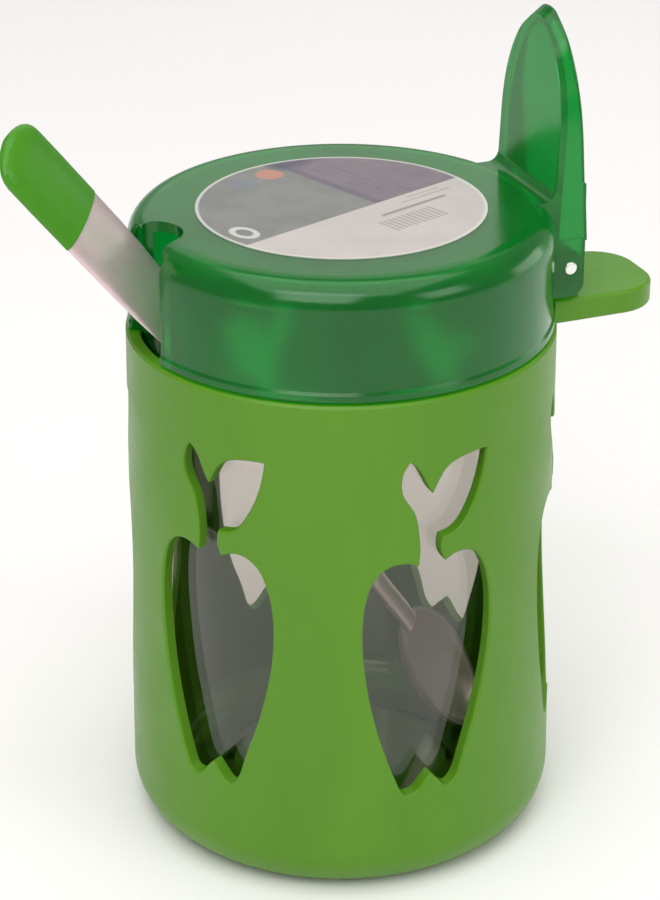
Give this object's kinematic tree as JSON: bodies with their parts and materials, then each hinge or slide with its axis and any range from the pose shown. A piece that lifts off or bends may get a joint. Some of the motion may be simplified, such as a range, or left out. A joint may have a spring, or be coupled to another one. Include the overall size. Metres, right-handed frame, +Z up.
{
  "type": "spoon jar with hinged lid",
  "caption": "Glass jar in a plastic holder with fruit-shaped windows and a finger tab; translucent lid with an upright thumb lever, hinge pin, spoon notch and a gripped spoon.",
  "frame": {"origin": "centre of the base on the ground", "axes": "+Z up; +X towards the hinge and finger tab, -X towards the spoon notch"},
  "size_m": [0.1423, 0.0926, 0.1758],
  "materials": {
    "holder": "satin opaque lime-green moulding",
    "jar": "clear pressed glass",
    "pin": "bright drawn steel",
    "lid": "glossy translucent dark-green moulding",
    "label": "coated paper disc, unlettered",
    "spoon": "satin stainless steel",
    "grip": "satin lime-green moulding"
  },
  "bodies": {
    "root": {"holder": "holder", "jar": "jar", "hinge_pin": "pin"},
    "lid": {"lid": "lid", "lid_label": "label"},
    "spoon": {"spoon": "spoon", "spoon_grip": "grip"}
  },
  "joints": [
    {"name": "lid_hinge", "type": "hinge", "parent": "root", "child": "lid", "pos_m": [0.0462, 0, 0.123], "axis": [0, 1, 0], "range_deg": [0, 95]},
    {"name": "spoon_lift", "type": "slide", "parent": "root", "child": "spoon", "axis": [-0.5513, 0, 0.8343], "range_m": [0, 0.055]}
  ]
}
